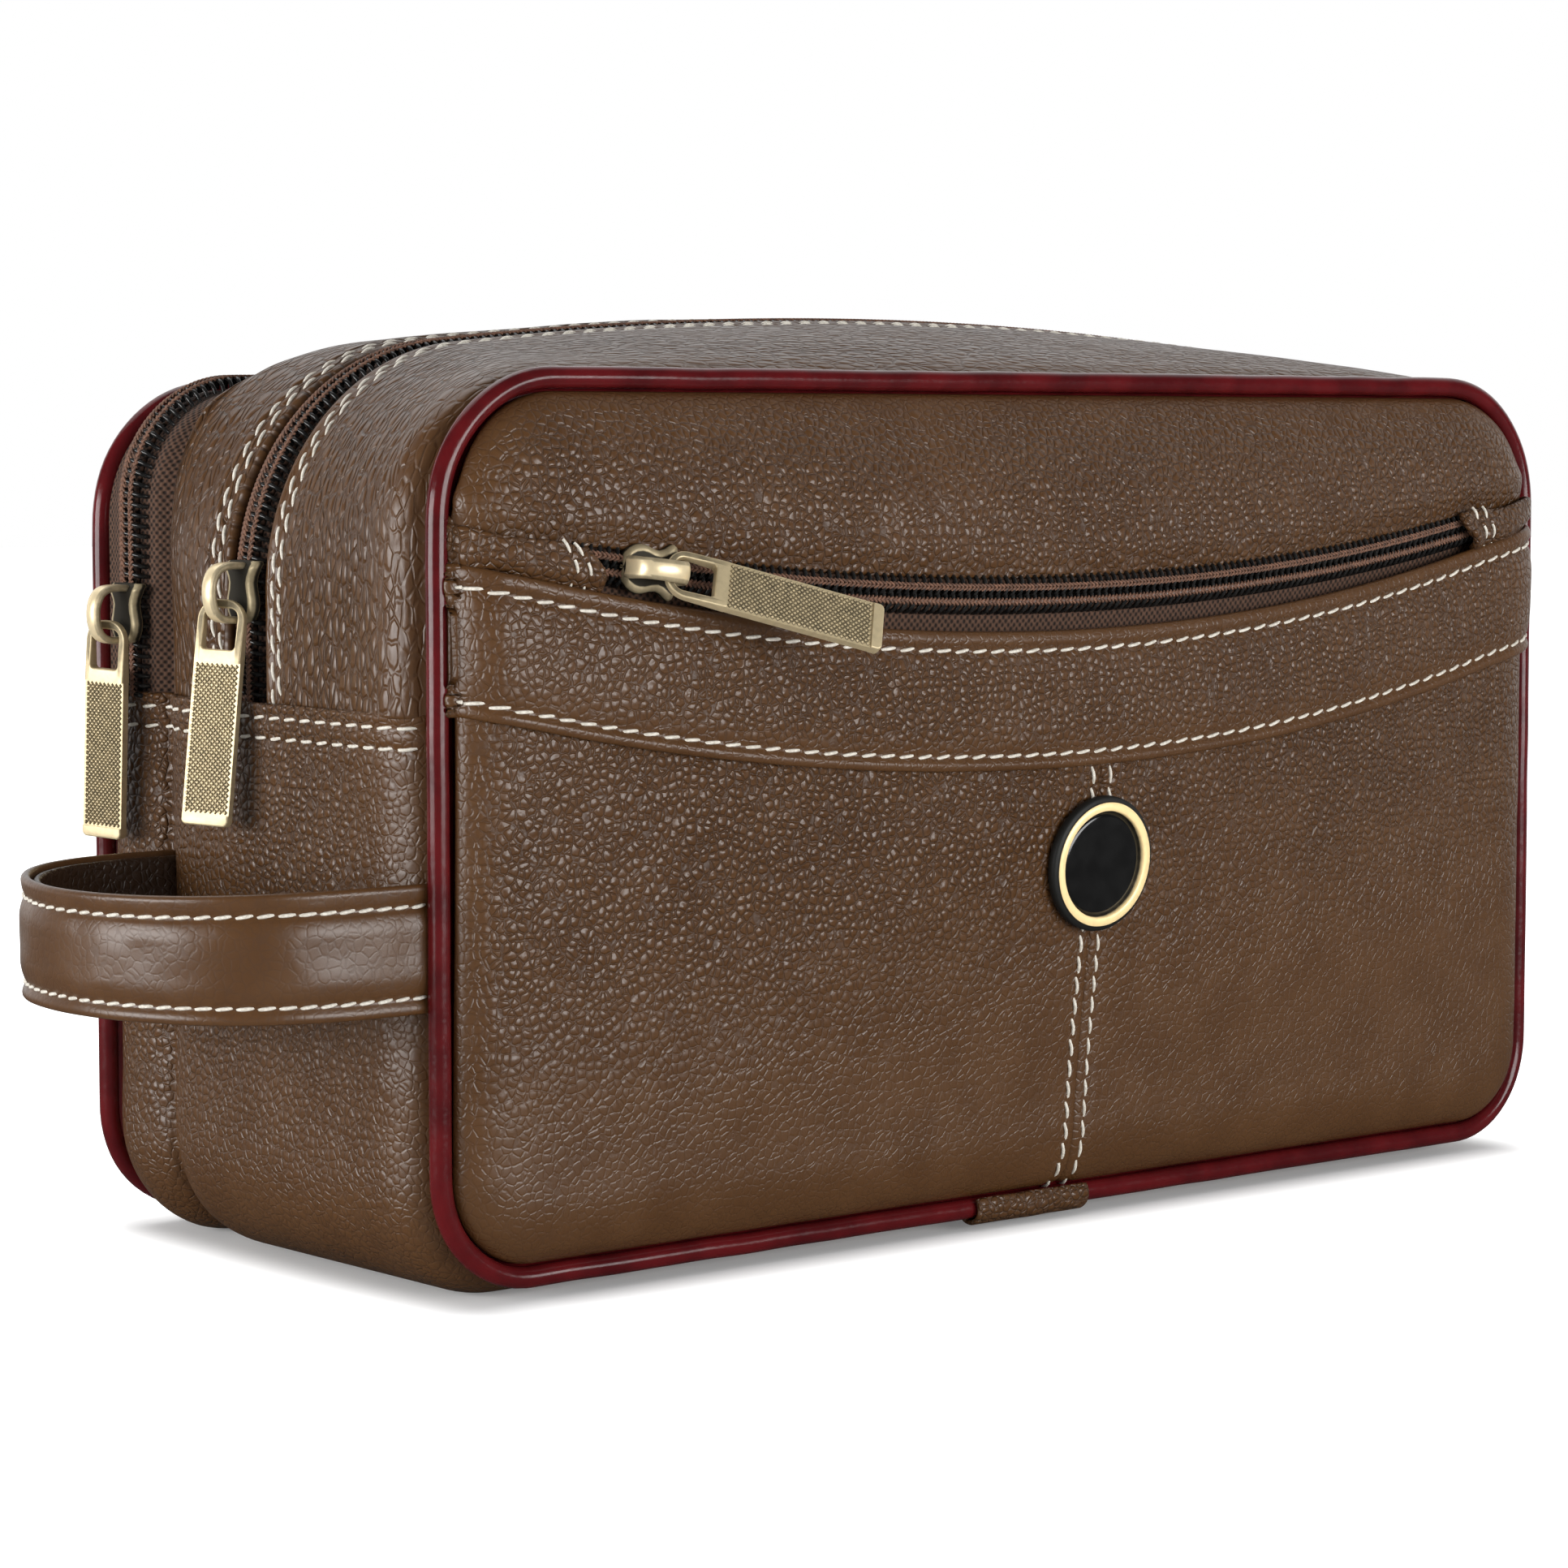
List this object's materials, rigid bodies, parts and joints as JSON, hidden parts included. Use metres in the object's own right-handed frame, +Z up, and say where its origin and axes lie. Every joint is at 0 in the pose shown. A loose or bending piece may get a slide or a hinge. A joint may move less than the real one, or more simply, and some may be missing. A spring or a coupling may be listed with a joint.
{
  "type": "shaving kit bag",
  "caption": "Box-shaped leather toiletry bag with a zipped main compartment, a slim zipped back compartment, a front pocket with a curved zip, red piping and a strap handle on one end.",
  "frame": {"origin": "on the flat base, midway between the ends and between the two piping loops", "axes": "+X along the bag away from the handle, -Y out of the front pocket, +Z up"},
  "size_m": [0.2986, 0.1313, 0.1552],
  "materials": {
    "leather": "pebbled, satin",
    "piping": "glossy",
    "zip_tape": "woven",
    "zip_coil": "satin",
    "antique_brass": "antiqued",
    "bright_brass": "polished",
    "black_enamel": "glossy",
    "washer_steel": "plain",
    "lining_cloth": "plain weave",
    "board": "plain"
  },
  "bodies": {
    "bag": {"front_upper_panel": "leather", "front_lower_panel_left": "leather", "front_lower_panel_right": "leather", "pocket_welt_band": "leather", "pocket_zip_tab_left": "leather", "pocket_zip_tab_right": "leather", "back_panel": "leather", "top_strip_front": "leather", "top_strip_rear": "leather", "main_gusset_lower": "leather", "back_gusset_lower": "leather", "piping_front": "piping", "piping_back": "piping", "piping_joint_cover_front": "leather", "piping_joint_cover_back": "leather", "main_zip_tape_front": "zip_tape", "main_zip_tape_rear": "zip_tape", "main_zip_coil_front": "zip_coil", "main_zip_coil_rear": "zip_coil", "back_zip_tape_front": "zip_tape", "back_zip_tape_rear": "zip_tape", "back_zip_coil_front": "zip_coil", "back_zip_coil_rear": "zip_coil", "pocket_zip_tape_lower": "zip_tape", "pocket_zip_tape_upper": "zip_tape", "pocket_zip_coil_lower": "zip_coil", "pocket_zip_coil_upper": "zip_coil", "badge_body": "antique_brass", "badge_inlay": "black_enamel", "badge_washer": "washer_steel", "handle_outer": "leather", "handle_inner": "leather", "main_lining_gusset": "lining_cloth", "main_lining_front": "lining_cloth", "back_lining_gusset": "lining_cloth", "back_lining_rear": "lining_cloth", "pocket_bag": "lining_cloth", "divider_panel": "lining_cloth", "back_stiffener": "board", "base_board": "board"},
    "main_slider": {"main_slider_body": "antique_brass", "main_slider_bridge": "bright_brass"},
    "main_pull": {"main_pull": "antique_brass"},
    "back_slider": {"back_slider_body": "antique_brass", "back_slider_bridge": "bright_brass"},
    "back_pull": {"back_pull": "antique_brass"},
    "pocket_slider": {"pocket_slider_body": "antique_brass", "pocket_slider_bridge": "bright_brass"},
    "pocket_pull": {"pocket_pull": "antique_brass"}
  },
  "joints": [
    {"name": "main_slider_travel", "type": "hinge", "parent": "bag", "child": "main_slider", "pos_m": [-0.088, 0.0007, 0.11], "axis": [0, 1, 0], "range_deg": [0, 80]},
    {"name": "main_pull_swing", "type": "hinge", "parent": "main_slider", "child": "main_pull", "pos_m": [-0.1327, 0.0007, 0.1083], "axis": [0, 1, 0], "range_deg": [-5, 160]},
    {"name": "back_slider_travel", "type": "slide", "parent": "bag", "child": "back_slider", "axis": [0, 0, 1], "range_m": [0, 0.01]},
    {"name": "back_pull_swing", "type": "hinge", "parent": "back_slider", "child": "back_pull", "pos_m": [-0.1328, 0.0356, 0.1038], "axis": [0, 0.9986, 0.0523], "range_deg": [-2, 165]},
    {"name": "pocket_slider_travel", "type": "hinge", "parent": "bag", "child": "pocket_slider", "pos_m": [-0.008, 0.2223, 0.59367], "axis": [0, -0.866, 0.5], "range_deg": [0, 18.9]},
    {"name": "pocket_pull_swing", "type": "hinge", "parent": "pocket_slider", "child": "pocket_pull", "pos_m": [-0.09129, -0.0608, 0.11406], "axis": [-0.2837, 0.0167, -0.9588], "range_deg": [-15, 150]}
  ]
}
